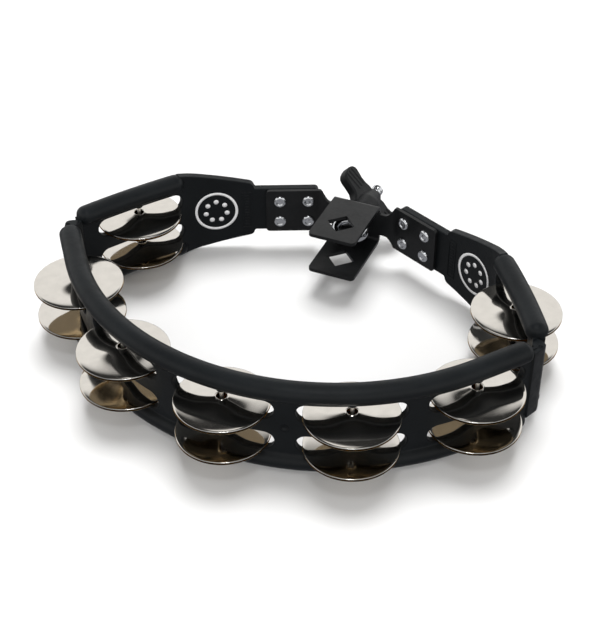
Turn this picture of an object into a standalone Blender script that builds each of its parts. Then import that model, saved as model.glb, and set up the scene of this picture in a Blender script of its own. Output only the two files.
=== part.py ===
"""Mountable jingle tambourine: an open, lens-shaped moulded frame that carries seven
stations of double jingles, with a riveted steel bracket and an eye bolt at the back.

Every piece hangs on one empty that puts the origin on the floor, under the middle of the
object. Inside it, z is zero at half the frame's height and y grows towards the bracket.
"""

import math

import bmesh
import bpy
from mathutils import Matrix, Vector

# ---- driving dimensions, in metres ----
GAP = 0.0003                    # space kept between touching pieces

FRAME_HEIGHT = 0.061            # bottom of the lower rail to top of the upper rail
WALL = 0.0052                   # thickness of the frame's wall
WEB_HALF_HEIGHT = 0.024         # the wall between the rails and at the corners
RAIL_WIDTH = 0.0136
RAIL_HEIGHT = 0.0118
POST_THICKNESS = 0.0076         # thickened wall at the two side corners
POST_LENGTH = 0.0085

ARC_RADIUS = 0.1593             # front of the ring, along the middle of the wall
ARC_CENTRE_Y = 0.0609
STATION_STEP = math.radians(26.15)
SIDE_RUN = 0.0425               # last front station to the corner
REAR_RUN = 0.0505               # corner to the rear station
CORNER_TURN = math.radians(65.8)
BACK_RUN = 0.0799               # corner to the bend where the paddle starts
BACK_TURN = math.radians(9)
BEND_RUN = 0.012
BEND_TURN = math.radians(18.2)
PADDLE_RUN = 0.0375
PADDLE_TURN = math.radians(10)
TONGUE_RUN = 0.0425
PADDLE_END_HALF_HEIGHT = 0.0197
TONGUE_HALF_HEIGHT = 0.0159
RAIL_END = 0.0075               # corner to the rounded end of a rail
RAIL_SIDES = 10                 # two more than a multiple of four, for flats above and below
ARC_STEPS = 10                  # facets on the right-hand half of the front arc
BACK_STEPS = 5
PADDLE_STEPS = 6
SHOULDER = 0.003                # chamfers where the rails and the tongue end
POST_STEP = 0.0006
SIDE_FACE_X = 0.1537            # the flat that cuts off each side corner

SLOT_LENGTH = 0.061
SLOT_HEIGHT = 0.012
SLOT_END_STEPS = 4
SLOT_Z = 0.0113                 # middle of the upper slots; the lower ones mirror it

JINGLE_RADIUS = 0.027
JINGLE_THICKNESS = 0.0008
JINGLE_RISE = 0.0028            # rim's open side to the top of the hub
JINGLE_HOLE_RADIUS = 0.0031
JINGLE_SEGMENTS = 16
RIM_GAP = 0.0012                # between the two rims of a pair
PAIR_CLEARANCE = 0.0004         # slot's lower edge to the hub of the lower jingle
JINGLE_CONE_RADIUS = 0.013
JINGLE_CONE_RISE = 0.0018
PIN_RADIUS = 0.00115
PIN_HOLE_ROOF = 0.003           # plastic left above a pin
PIN_BOSS_RADIUS = 0.0031        # stub around the pin, under the upper rail
PIN_BOSS_HEIGHT = 0.0014

STRAP = 0.0023                  # bracket steel
BRACKET_HALF_HEIGHT = 0.0157    # of the two riveted flanges
WALL_INNER_Y = 0.1045           # inside face of the bracket's middle
WALL_HALF_WIDTH = 0.026
FLANGE_OUTER_X = 0.059
TONGUE_PLATE_HALF_WIDTH = 0.0157
TONGUE_PLATE_FRONT_Y = 0.0585
TONGUE_PLATE_HALF_HEIGHT = 0.0147
DIAMOND_Y = 0.0764
DIAMOND_SIDE = 0.0131
TONGUE_CORNER = 0.003
BEND_OUTER_RADIUS = 0.0045
FLANGE_CORNER = 0.0015
RELIEF_X = 0.019                # bend reliefs between the bracket's four arms
RELIEF_RADIUS = 0.003
NECK_HALF_HEIGHT = 0.008
RIVET_SPACING_Z = 0.0154
RIVET_RADIUS = 0.0022
RIVET_HEAD_RADIUS = 0.0041
RIVET_HEAD_HEIGHT = 0.0019
RIVET_X = (0.0333, 0.0503)

BOLT_RADIUS = 0.004
BOLT_END_Y = 0.1438
EYE_OUTER_RADIUS = 0.0125
EYE_INNER_RADIUS = 0.007
EYE_THICKNESS = 0.0068
WASHER_RADIUS = 0.0085
WASHER_THICKNESS = 0.0012
INSERT_ACROSS_FLATS = 0.013
INSERT_LENGTH = 0.0065
BOSS_RADIUS = 0.0092            # tapers to the tip
BOSS_TIP_RADIUS = 0.005
BOSS_END_Y = 0.136
WING_END_Y = 0.137
COLLAR_RADIUS = 0.0105
COLLAR_HEIGHT = 0.003
WING_ANGLE = math.radians(135)  # of the wing seen from behind the bracket's middle
WING_THICKNESS = 0.0068
WING_REACH = 0.0265
NUT_SEAT_Y = WALL_INNER_Y + STRAP + WASHER_THICKNESS + 2 * GAP


# ---- the plan of the frame: a walk along the middle of the wall, from the front centre ----
ARC_RUN = 2 * STATION_STEP * ARC_RADIUS
CORNER_AT = ARC_RUN + SIDE_RUN
PADDLE_AT = CORNER_AT + BACK_RUN
STEP_AT = PADDLE_AT + BEND_RUN + PADDLE_RUN
TONGUE_END_AT = STEP_AT + TONGUE_RUN
RUNS = (                        # length and turn of each stretch of the right-hand half
    (ARC_RUN, 2 * STATION_STEP),
    (SIDE_RUN, 0),
    (0, CORNER_TURN),
    (BACK_RUN, BACK_TURN),
    (BEND_RUN, BEND_TURN),
    (PADDLE_RUN, PADDLE_TURN),
    (TONGUE_RUN, 0),
)


def walk(distance):
    """Plan place and heading at a distance from the front centre, on the right-hand half."""
    place = Vector((0, ARC_CENTRE_Y - ARC_RADIUS))
    heading = 0.0
    left = distance
    for length, turn in RUNS:
        share = min(left / length, 1) if length else float(left > 0)
        chord = length * share
        half = turn * share / 2
        if half and length:
            chord *= math.sin(half) / half
        place = place + chord * Vector((math.cos(heading + half), math.sin(heading + half)))
        heading += turn * share
        left -= length
        if left <= 0:
            break
    return place, heading


def outward(heading):
    """The side of a plan heading that faces out of the ring."""
    return Vector((math.sin(heading), -math.cos(heading)))


def stations():
    """Plan place and heading of the seven jingle stations, counted from back left, round."""
    step = STATION_STEP * ARC_RADIUS
    right = [walk(distance) for distance in (0, step, 2 * step, CORNER_AT + REAR_RUN)]
    left = [(Vector((-place.x, place.y)), -heading) for place, heading in reversed(right[1:])]
    return left + right


ORIGIN_Y = (ARC_CENTRE_Y - ARC_RADIUS - JINGLE_RADIUS + BOLT_END_Y) / 2


# ---- scene helpers ----
def clear_scene():
    """Remove what the opened file holds."""
    for item in list(bpy.data.objects):
        bpy.data.objects.remove(item, do_unlink=True)


def make_collection(name):
    """A collection in the scene."""
    made = bpy.data.collections.new(name)
    bpy.context.scene.collection.children.link(made)
    return made


def make_material(name, colour, roughness, metallic=0.0):
    """A plain Principled material."""
    made = bpy.data.materials.new(name)
    made.use_nodes = True
    shader = made.node_tree.nodes["Principled BSDF"]
    shader.inputs["Base Color"].default_value = (*colour, 1)
    shader.inputs["Roughness"].default_value = roughness
    shader.inputs["Metallic"].default_value = metallic
    return made


def as_part(item, name, material, location=(0, 0, 0), angle=0.0):
    """Name and place a piece, give it its own material and hang it on the origin empty."""
    item.name = name
    item.data.name = name
    item.data.materials.clear()
    item.data.materials.append(material)
    item.location = location
    item.rotation_euler = (0, 0, angle)
    item.parent = ORIGIN
    move_to(item, PARTS)
    return item


def move_to(item, collection):
    """Keep an object in one collection only."""
    for other in list(item.users_collection):
        other.objects.unlink(item)
    collection.objects.link(item)


def mesh_object(name, build):
    """An object whose mesh is filled by build(bm)."""
    mesh = bpy.data.meshes.new(name)
    bm = bmesh.new()
    build(bm)
    bmesh.ops.recalc_face_normals(bm, faces=bm.faces)
    bm.to_mesh(mesh)
    bm.free()
    item = bpy.data.objects.new(name, mesh)
    CUTTERS.objects.link(item)
    return item


def as_cutter(item):
    """Hide a helper from renders; the build leaves it out."""
    item.hide_render = True
    item.display_type = "WIRE"
    item.parent = ORIGIN
    move_to(item, CUTTERS)
    return item


def boolean(target, other, operation="DIFFERENCE"):
    """Cut or join with the exact solver."""
    modifier = target.modifiers.new(operation.title(), "BOOLEAN")
    modifier.operation = operation
    modifier.object = as_cutter(other)
    modifier.solver = "EXACT"
    return modifier


def to_mesh(curve):
    """Turn a curve into a mesh object with its caps welded."""
    bpy.context.view_layer.update()
    depsgraph = bpy.context.evaluated_depsgraph_get()
    mesh = bpy.data.meshes.new_from_object(curve.evaluated_get(depsgraph))
    bm = bmesh.new()
    bm.from_mesh(mesh)
    bmesh.ops.remove_doubles(bm, verts=bm.verts, dist=0.000001)
    bmesh.ops.recalc_face_normals(bm, faces=bm.faces)
    bm.to_mesh(mesh)
    bm.free()
    item = bpy.data.objects.new(curve.name, mesh)
    item.matrix_world = curve.matrix_world
    CUTTERS.objects.link(item)
    bpy.data.objects.remove(curve, do_unlink=True)
    return item


def outline_solid(name, points, half_thickness):
    """A flat outline in XY, filled and given thickness both ways along Z."""
    curve = bpy.data.curves.new(name, "CURVE")
    curve.dimensions = "2D"
    curve.fill_mode = "BOTH"
    curve.extrude = half_thickness
    spline = curve.splines.new("POLY")
    spline.points.add(len(points) - 1)
    for knot, (x, y) in zip(spline.points, points):
        knot.co = (x, y, 0, 1)
    spline.use_cyclic_u = True
    item = bpy.data.objects.new(name, curve)
    CUTTERS.objects.link(item)
    return to_mesh(item)


def swept_tube(name, points, width, height):
    """A bar with an oval section along flat (x, y, thickness share) points, with filled ends.

    The section's flats lie at its top and bottom, so its corners stand a little over them.
    """
    flat = math.cos(math.pi / RAIL_SIDES)
    section = bpy.data.curves.new(name + "_section", "CURVE")
    section.dimensions = "2D"
    ring = section.splines.new("POLY")
    ring.points.add(RAIL_SIDES - 1)
    for index, knot in enumerate(ring.points):
        angle = 2 * math.pi * index / RAIL_SIDES
        knot.co = (width / 2 * math.cos(angle), height / 2 / flat * math.sin(angle), 0, 1)
    ring.use_cyclic_u = True
    profile = bpy.data.objects.new(name + "_section", section)
    CUTTERS.objects.link(profile)
    curve = bpy.data.curves.new(name, "CURVE")
    curve.dimensions = "3D"
    curve.twist_mode = "Z_UP"
    curve.bevel_mode = "OBJECT"
    curve.bevel_object = profile
    curve.use_fill_caps = True
    spline = curve.splines.new("POLY")
    spline.points.add(len(points) - 1)
    for knot, (x, y, share) in zip(spline.points, points):
        knot.co = (x, y, 0, 1)
        knot.radius = share
    item = bpy.data.objects.new(name, curve)
    CUTTERS.objects.link(item)
    made = to_mesh(item)
    bpy.data.objects.remove(profile, do_unlink=True)
    return made


def cylinder(name, radius, depth, segments=16):
    """A capped cylinder along Z, centred on its origin."""
    def build(bm):
        bmesh.ops.create_cone(
            bm, cap_ends=True, segments=segments, radius1=radius, radius2=radius, depth=depth
        )
    return mesh_object(name, build)


def box(name, size):
    """A box centred on its origin."""
    def build(bm):
        bmesh.ops.create_cube(bm, size=1)
        bmesh.ops.scale(bm, vec=size, verts=bm.verts)
    return mesh_object(name, build)


def turned(name, profile, segments, closed=False):
    """A profile of (radius, height) turned about Z with a Screw modifier."""
    mesh = bpy.data.meshes.new(name)
    verts = [(radius, 0, height) for radius, height in profile]
    edges = [(index, index + 1) for index in range(len(verts) - 1)]
    if closed:
        edges.append((len(verts) - 1, 0))
    mesh.from_pydata(verts, edges, [])
    item = bpy.data.objects.new(name, mesh)
    CUTTERS.objects.link(item)
    screw = item.modifiers.new("Turn", "SCREW")
    screw.steps = segments
    screw.render_steps = segments
    screw.use_merge_vertices = True
    screw.merge_threshold = 0.00001
    return item


def strip(name, sections):
    """A closed strip through upright rectangular sections of (place, across, half height)."""
    def build(bm):
        rings = []
        for place, across, half_height in sections:
            corners = ((1, -1), (1, 1), (-1, 1), (-1, -1))
            rings.append([
                bm.verts.new((*(place + side * across), level * half_height))
                for side, level in corners
            ])
        for near, far in zip(rings, rings[1:]):
            for index in range(4):
                after = (index + 1) % 4
                bm.faces.new((near[index], near[after], far[after], far[index]))
        bm.faces.new(rings[0])
        bm.faces.new(rings[-1])
    return mesh_object(name, build)


def mirrored(sections):
    """The left-hand copies of right-hand sections, in walking order."""
    flipped = [
        (Vector((-place.x, place.y)), Vector((-across.x, across.y)), *rest)
        for place, across, *rest in reversed(sections)
    ]
    return flipped + sections


# ---- the frame ----
def wall_sections():
    """Sections of the right-hand wall, from just past the front centre to the tongue's end."""
    half_wall = WALL / 2
    made = []

    def add(distance, half_height, half_thickness=half_wall):
        place, heading = walk(distance)
        made.append((place, half_thickness * outward(heading), half_height))

    for index in range(1, ARC_STEPS + 1):
        add(ARC_RUN * index / ARC_STEPS, WEB_HALF_HEIGHT)
    add(CORNER_AT - POST_LENGTH, WEB_HALF_HEIGHT)
    add(CORNER_AT - POST_LENGTH + POST_STEP, WEB_HALF_HEIGHT, POST_THICKNESS / 2)
    corner, heading = walk(CORNER_AT)
    mitre = POST_THICKNESS / 2 / math.cos(CORNER_TURN / 2)
    made.append((corner, mitre * outward(heading + CORNER_TURN / 2), WEB_HALF_HEIGHT))
    add(CORNER_AT + POST_LENGTH - POST_STEP, WEB_HALF_HEIGHT, POST_THICKNESS / 2)
    add(CORNER_AT + POST_LENGTH, WEB_HALF_HEIGHT)
    for index in range(1, BACK_STEPS):
        add(CORNER_AT + BACK_RUN * index / BACK_STEPS, WEB_HALF_HEIGHT)
    add(PADDLE_AT - SHOULDER, WEB_HALF_HEIGHT)
    paddle = BEND_RUN + PADDLE_RUN
    drop = FRAME_HEIGHT / 2 - PADDLE_END_HALF_HEIGHT
    for index in range(PADDLE_STEPS + 1):
        share = index / PADDLE_STEPS
        add(PADDLE_AT + paddle * share, FRAME_HEIGHT / 2 - drop * share)
    add(STEP_AT + POST_STEP, TONGUE_HALF_HEIGHT)
    add(TONGUE_END_AT - SHOULDER, TONGUE_HALF_HEIGHT)
    add(TONGUE_END_AT, TONGUE_HALF_HEIGHT - SHOULDER)
    return made


def rail_points(first, last, steps):
    """A rail with rounded ends, as (x, y, thickness share), between two walking distances."""
    radius = RAIL_HEIGHT / 2
    caps = [math.radians(angle) for angle in (15, 50)]
    stops = [(first + radius * (1 - math.cos(angle)), math.sin(angle)) for angle in caps]
    length = last - first - 2 * radius
    stops += [(first + radius + length * index / steps, 1) for index in range(steps + 1)]
    stops += [(last - radius * (1 - math.cos(angle)), math.sin(angle)) for angle in reversed(caps)]
    points = []
    for distance, share in stops:
        place, _ = walk(abs(distance))
        points.append((math.copysign(place.x, distance), place.y, share))
    return points


def slot_cutter(name, place, heading, height):
    """A round-ended slot through the wall, upright across the heading."""
    radius = SLOT_HEIGHT / 2
    reach = SLOT_LENGTH / 2 - radius
    turns = [math.pi * index / SLOT_END_STEPS for index in range(SLOT_END_STEPS + 1)]
    points = [(reach + radius * math.sin(turn), -radius * math.cos(turn)) for turn in turns]
    points += [(-x, -y) for x, y in points]
    cutter = outline_solid(name, points, RAIL_WIDTH)
    cutter.rotation_euler = (math.pi / 2, 0, heading)
    cutter.location = (place.x, place.y, height)
    return cutter


def make_frame(material):
    """The one-piece moulded frame: wall, paddles and tongues, rails, slots and holes."""
    frame = strip("frame", mirrored(wall_sections()))
    rail_z = (FRAME_HEIGHT - RAIL_HEIGHT) / 2
    front = CORNER_AT - RAIL_END
    spans = (
        ("front", -front, front, 2 * ARC_STEPS + 4),
        ("right", CORNER_AT + RAIL_END, PADDLE_AT + SHOULDER, BACK_STEPS),
        ("left", -PADDLE_AT - SHOULDER, -CORNER_AT - RAIL_END, BACK_STEPS),
    )
    for name, first, last, steps in spans:
        for side in (1, -1):
            points = rail_points(first, last, steps)
            rail = swept_tube(f"{name}_rail", points, RAIL_WIDTH, RAIL_HEIGHT)
            rail.location.z = side * rail_z
            boolean(frame, rail, "UNION")
    for side in (1, -1):
        trim = box("side_trim", (RAIL_WIDTH, 2 * RAIL_WIDTH, FRAME_HEIGHT))
        trim.location = (side * (SIDE_FACE_X + RAIL_WIDTH / 2), walk(CORNER_AT)[0].y, 0)
        boolean(frame, trim)
    for place, heading in stations():
        for side in (1, -1):
            boolean(frame, slot_cutter("slot", place, heading, side * SLOT_Z))
        boss = cylinder("pin_boss", PIN_BOSS_RADIUS, 2 * PIN_BOSS_HEIGHT, 12)
        boss.location = (place.x, place.y, SLOT_Z + SLOT_HEIGHT / 2)
        boolean(frame, boss, "UNION")
        hole = cylinder("pin_hole", PIN_RADIUS + GAP, FRAME_HEIGHT, 12)
        hole.location = (place.x, place.y, -PIN_HOLE_ROOF)
        boolean(frame, hole)
    for place, heading in rivet_places():
        hole = cylinder("rivet_hole", RIVET_RADIUS + GAP, 4 * WALL, 12)
        hole.rotation_euler = (math.pi / 2, 0, heading)
        hole.location = place
        boolean(frame, hole)
    return as_part(frame, "frame", material)


# ---- jingles and their pins ----
def jingle_profile():
    """Closed outline of a dished disc with a lipped hub, open side at height zero."""
    wall = JINGLE_THICKNESS
    top = (
        (JINGLE_HOLE_RADIUS, JINGLE_RISE),
        (JINGLE_HOLE_RADIUS + wall, JINGLE_RISE),
        (JINGLE_CONE_RADIUS, JINGLE_CONE_RISE),
        (JINGLE_RADIUS, wall),
    )
    under = (
        (JINGLE_RADIUS, 0),
        (JINGLE_CONE_RADIUS, JINGLE_CONE_RISE - wall),
        (JINGLE_HOLE_RADIUS, JINGLE_RISE - 1.6 * wall),
    )
    return top + under


def make_jingles(materials):
    """A facing pair of discs in each slot."""
    levels = {"upper": SLOT_Z, "lower": -SLOT_Z}
    for number, (place, _) in enumerate(stations(), 1):
        for level, slot_z in levels.items():
            hub = slot_z - SLOT_HEIGHT / 2 + PAIR_CLEARANCE
            middle = hub + JINGLE_RISE + RIM_GAP / 2
            for half, side in (("top", 1), ("bottom", -1)):
                disc = turned("jingle", jingle_profile(), JINGLE_SEGMENTS, closed=True)
                name = f"jingle_{number}_{level}_{half}"
                as_part(disc, name, materials["nickel"], (place.x, place.y, middle + side * RIM_GAP / 2))
                disc.rotation_euler.x = 0 if side > 0 else math.pi


def make_pins(material):
    """One steel pin for each station, pushed up through both slots from below."""
    bottom = -FRAME_HEIGHT / 2 + GAP
    top = FRAME_HEIGHT / 2 - PIN_HOLE_ROOF - GAP
    for number, (place, _) in enumerate(stations(), 1):
        pin = cylinder("pin", PIN_RADIUS, top - bottom, 12)
        as_part(pin, f"jingle_pin_{number}", material, (place.x, place.y, (top + bottom) / 2))


# ---- the bracket ----
def flange_line():
    """Start and heading of the right-hand tongue's inner face, walking inwards."""
    place, heading = walk(STEP_AT + POST_STEP)
    return place - (WALL / 2 + GAP) * outward(heading), heading


def on_flange(x, depth=0.0):
    """Point at a given x on the right-hand tongue's inner face, moved inwards by a depth."""
    start, heading = flange_line()
    along = Vector((math.cos(heading), math.sin(heading)))
    foot = start - depth * outward(heading)
    return foot + (x - foot.x) / along.x * along


def rivet_places():
    """Place and heading of the eight rivets, on the tongues' inner faces."""
    _, heading = flange_line()
    made = []
    for side in (-1, 1):
        for x in RIVET_X:
            foot = on_flange(x)
            for level in (-1, 1):
                place = Vector((side * foot.x, foot.y, level * RIVET_SPACING_Z / 2))
                made.append((place, side * heading))
    return made


def strap_sections():
    """Sections of the right half of the bent strap, from near the middle to its outer end."""
    wall_y = WALL_INNER_Y + STRAP / 2
    forward = STRAP / 2 * Vector((0, -1))
    made = []
    for x, half_height in ((0.004, NECK_HALF_HEIGHT), (RELIEF_X + RELIEF_RADIUS, NECK_HALF_HEIGHT)):
        made.append((Vector((x, wall_y)), forward, half_height))
    _, heading = flange_line()
    across = -STRAP / 2 * outward(heading)
    bend = (forward + across).normalized() * STRAP / 2
    made.append((Vector((WALL_HALF_WIDTH - STRAP, wall_y)), forward, BRACKET_HALF_HEIGHT))
    made.append((on_flange(WALL_HALF_WIDTH, STRAP / 2), bend, BRACKET_HALF_HEIGHT))
    for x, half_height in (
        (FLANGE_OUTER_X - FLANGE_CORNER, BRACKET_HALF_HEIGHT),
        (FLANGE_OUTER_X, BRACKET_HALF_HEIGHT - FLANGE_CORNER),
    ):
        made.append((on_flange(x, STRAP / 2), across, half_height))
    return made


def tongue_profile():
    """Side outline of the two tongues and the middle, as (y, z)."""
    back = WALL_INNER_Y + STRAP
    top = TONGUE_PLATE_HALF_HEIGHT
    outer, inner = BEND_OUTER_RADIUS, BEND_OUTER_RADIUS - STRAP
    turns = [math.pi / 2 * index / 4 for index in range(5)]
    middle_y, middle_z = back - outer, top - outer

    def bend(radius):
        return [
            (middle_y + radius * math.sin(turn), middle_z + radius * math.cos(turn))
            for turn in turns
        ]

    front = TONGUE_PLATE_FRONT_Y
    upper_outside = [(front, top)] + bend(outer)
    upper_inside = [(front, top - STRAP)] + bend(inner)
    outside = upper_outside + [(y, -z) for y, z in reversed(upper_outside)]
    inside = upper_inside + [(y, -z) for y, z in reversed(upper_inside)]
    return outside + list(reversed(inside))


def rounded_plan(half_width, front, back, radius):
    """Plan outline of the tongues, with rounded front corners."""
    turns = [math.pi / 2 * index / 4 for index in range(5)]
    corner = [
        (half_width - radius + radius * math.cos(turn), front + radius - radius * math.sin(turn))
        for turn in turns
    ]
    return [(half_width, back)] + corner + [(-x, y) for x, y in reversed(corner)] + [(-half_width, back)]


def make_bracket(material):
    """The bent strap with its two flanges and two tongues, cut from one steel sheet."""
    bracket = outline_solid("bracket", tongue_profile(), 2 * TONGUE_PLATE_HALF_WIDTH)
    tilt = Matrix(((0, 0, 1, 0), (1, 0, 0, 0), (0, 1, 0, 0), (0, 0, 0, 1)))
    bracket.data.transform(tilt)
    plan = rounded_plan(
        TONGUE_PLATE_HALF_WIDTH, TONGUE_PLATE_FRONT_Y, BOLT_END_Y, TONGUE_CORNER
    )
    trim = outline_solid("tongue_plan", plan, FRAME_HEIGHT)
    boolean(bracket, trim, "INTERSECT")
    strap = strip("strap", mirrored(strap_sections()))
    boolean(bracket, strap, "UNION")
    diamond = box("diamond", (DIAMOND_SIDE, DIAMOND_SIDE, FRAME_HEIGHT))
    diamond.rotation_euler.z = math.pi / 4
    diamond.location.y = DIAMOND_Y
    boolean(bracket, diamond)
    bore = cylinder("bolt_hole", BOLT_RADIUS + GAP, 4 * STRAP)
    bore.rotation_euler.x = math.pi / 2
    bore.location.y = WALL_INNER_Y
    boolean(bracket, bore)
    for place, heading in rivet_places():
        hole = cylinder("rivet_hole", RIVET_RADIUS + GAP, 4 * WALL, 12)
        hole.rotation_euler = (math.pi / 2, 0, heading)
        hole.location = place
        boolean(bracket, hole)
    return as_part(bracket, "bracket", material)


def make_rivets(material):
    """Round-headed rivets with a dimpled head inside and a formed tail outside."""
    grip = STRAP + WALL + GAP
    head, height = RIVET_HEAD_RADIUS, RIVET_HEAD_HEIGHT
    profile = (
        (0, height / 2),
        (0.3 * head, height),
        (0.65 * head, 0.85 * height),
        (head, 0.2 * height),
        (head, GAP),
        (RIVET_RADIUS, GAP),
        (RIVET_RADIUS, -grip - GAP),
        (0.8 * head, -grip - GAP),
        (0.6 * head, -grip - 0.7 * height),
        (0, -grip - 0.7 * height),
    )
    for number, (place, heading) in enumerate(rivet_places(), 1):
        rivet = turned("rivet", profile, 12)
        inward = -STRAP * outward(heading)
        spot = place + Vector((inward.x, inward.y, 0))
        as_part(rivet, f"rivet_{number}", material, spot)
        rivet.rotation_euler = (-math.pi / 2, 0, heading)


# ---- the eye bolt and what turns on it ----
def along_y(item):
    """Stand a turned piece's own +Z along the bolt, away from the ring."""
    item.rotation_euler.x = -math.pi / 2


def make_eye_bolt(material):
    """A flat eye, its hole upright, on a shank that leaves through the bracket's middle."""
    eye_y = WALL_INNER_Y - GAP - EYE_OUTER_RADIUS
    half, edge = EYE_THICKNESS / 2, EYE_THICKNESS / 4
    profile = (
        (EYE_OUTER_RADIUS - edge, half),
        (EYE_OUTER_RADIUS, half - edge),
        (EYE_OUTER_RADIUS, edge - half),
        (EYE_OUTER_RADIUS - edge, -half),
        (EYE_INNER_RADIUS + edge, -half),
        (EYE_INNER_RADIUS, edge - half),
        (EYE_INNER_RADIUS, half - edge),
        (EYE_INNER_RADIUS + edge, half),
    )
    eye = turned("eye_bolt", profile, 24, closed=True)
    start = eye_y + (EYE_INNER_RADIUS + EYE_OUTER_RADIUS) / 2
    shank = cylinder("shank", BOLT_RADIUS, BOLT_END_Y - start)
    shank.rotation_euler.x = math.pi / 2
    shank.location.y = (BOLT_END_Y + start) / 2
    as_part(eye, "eye_bolt", material, (0, eye_y, 0))
    boolean(eye, shank, "UNION")


def make_washer(material):
    """Flat washer between the bracket and the wing nut."""
    wall, inner = WASHER_THICKNESS, BOLT_RADIUS + GAP
    profile = ((inner, wall), (WASHER_RADIUS, wall), (WASHER_RADIUS, 0), (inner, 0))
    washer = turned("washer", profile, 20, closed=True)
    as_part(washer, "washer", material, (0, WALL_INNER_Y + STRAP + GAP, 0))
    along_y(washer)


def wing_outline():
    """One wing beside the bolt, as (reach, distance along the bolt from the nut's seat)."""
    reach, length = WING_REACH, WING_END_Y - NUT_SEAT_Y
    return (
        (0, 0.13 * length), (0.3 * reach, 0.13 * length), (0.48 * reach, 0.36 * length),
        (0.88 * reach, 0.43 * length), (0.98 * reach, 0.53 * length), (reach, 0.74 * length),
        (0.95 * reach, 0.93 * length), (0.84 * reach, length), (0.5 * reach, 0.91 * length),
        (0.3 * reach, 0.95 * length), (0, 0.92 * length),
    )


def make_wing_nut(material):
    """Moulded boss with a collar, two wings and a pocket for the threaded insert."""
    length = BOSS_END_Y - NUT_SEAT_Y
    profile = (
        (0, length),
        (BOSS_TIP_RADIUS, length),
        (BOSS_RADIUS, length / 2),
        (BOSS_RADIUS, COLLAR_HEIGHT),
        (COLLAR_RADIUS, COLLAR_HEIGHT),
        (COLLAR_RADIUS, 0),
        (0, 0),
    )
    nut = turned("wing_nut", profile, 20)
    as_part(nut, "wing_nut", material, (0, NUT_SEAT_Y, 0))
    along_y(nut)
    for side in (0, math.pi):
        wing = outline_solid("wing", wing_outline(), WING_THICKNESS / 2)
        wing.rotation_euler.y = side - WING_ANGLE
        wing.location.y = NUT_SEAT_Y
        boolean(nut, wing, "UNION")
    bore = cylinder("nut_bore", BOLT_RADIUS + GAP, 3 * length)
    bore.rotation_euler.x = math.pi / 2
    bore.location.y = NUT_SEAT_Y
    boolean(nut, bore)
    pocket = cylinder("insert_pocket", hex_radius() + 2 * GAP, 2 * (INSERT_LENGTH + GAP), 6)
    pocket.rotation_euler.x = math.pi / 2
    pocket.location.y = NUT_SEAT_Y
    boolean(nut, pocket)


def hex_radius():
    """Corner radius of the hexagonal insert."""
    return INSERT_ACROSS_FLATS / math.sqrt(3)


def make_insert(material):
    """Hexagonal threaded insert pressed into the wing nut's seat."""
    insert = cylinder("nut_insert", hex_radius(), INSERT_LENGTH - GAP, 6)
    place = (0, NUT_SEAT_Y + (INSERT_LENGTH + GAP) / 2, 0)
    as_part(insert, "nut_insert", material, place)
    insert.rotation_euler.x = math.pi / 2
    bore = cylinder("insert_bore", BOLT_RADIUS + GAP / 3, 3 * INSERT_LENGTH)
    bore.rotation_euler.x = math.pi / 2
    bore.location.y = NUT_SEAT_Y
    boolean(insert, bore)


def main():
    """Build every piece."""
    materials = {
        "plastic": make_material("black_plastic", (0.018, 0.019, 0.02), 0.55),
        "nickel": make_material("polished_nickel", (0.78, 0.72, 0.63), 0.12, 1),
        "pin_steel": make_material("pin_steel", (0.62, 0.61, 0.6), 0.3, 1),
        "black_steel": make_material("black_steel", (0.02, 0.021, 0.023), 0.4),
        "zinc": make_material("bright_zinc", (0.8, 0.82, 0.85), 0.2, 1),
        "chrome": make_material("chrome", (0.75, 0.77, 0.8), 0.1, 1),
        "knob_plastic": make_material("knob_plastic", (0.02, 0.02, 0.02), 0.5),
        "brass": make_material("insert_brass", (0.72, 0.55, 0.28), 0.35, 1),
    }
    make_frame(materials["plastic"])
    make_jingles(materials)
    make_pins(materials["pin_steel"])
    make_bracket(materials["black_steel"])
    make_rivets(materials["zinc"])
    make_eye_bolt(materials["chrome"])
    make_washer(materials["zinc"])
    make_wing_nut(materials["knob_plastic"])
    make_insert(materials["brass"])


clear_scene()
PARTS = make_collection("tambourine")
CUTTERS = make_collection("cutters")
ORIGIN = bpy.data.objects.new("tambourine_origin", None)
PARTS.objects.link(ORIGIN)
ORIGIN.location = (0, -ORIGIN_Y, FRAME_HEIGHT / 2)
main()
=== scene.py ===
"""Looks of the mountable jingle tambourine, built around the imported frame.

Lengths are in metres. The frame's plan is walked along the middle of its wall, from the front
centre to the bracket, and every moulded detail is placed by its distance along that walk, its
offset out of the ring and its height over half the frame's height.
"""

import math

import bmesh
import bpy
from mathutils import Matrix, Vector


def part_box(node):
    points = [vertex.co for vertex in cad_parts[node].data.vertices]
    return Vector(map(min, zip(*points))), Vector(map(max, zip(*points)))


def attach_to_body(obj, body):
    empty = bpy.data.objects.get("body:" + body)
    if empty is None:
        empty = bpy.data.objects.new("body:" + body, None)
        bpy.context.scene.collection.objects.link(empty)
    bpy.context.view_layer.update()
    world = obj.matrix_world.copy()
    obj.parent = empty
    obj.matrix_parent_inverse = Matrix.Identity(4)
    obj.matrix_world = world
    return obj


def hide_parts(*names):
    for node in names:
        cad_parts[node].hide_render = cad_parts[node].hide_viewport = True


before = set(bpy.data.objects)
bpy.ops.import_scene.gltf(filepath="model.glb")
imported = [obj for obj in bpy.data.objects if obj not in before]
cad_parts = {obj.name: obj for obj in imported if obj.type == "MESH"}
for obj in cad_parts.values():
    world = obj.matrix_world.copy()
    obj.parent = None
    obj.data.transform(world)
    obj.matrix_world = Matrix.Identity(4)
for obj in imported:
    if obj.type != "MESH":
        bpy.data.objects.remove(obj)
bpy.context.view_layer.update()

ROOT = "frame_assembly"

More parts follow.
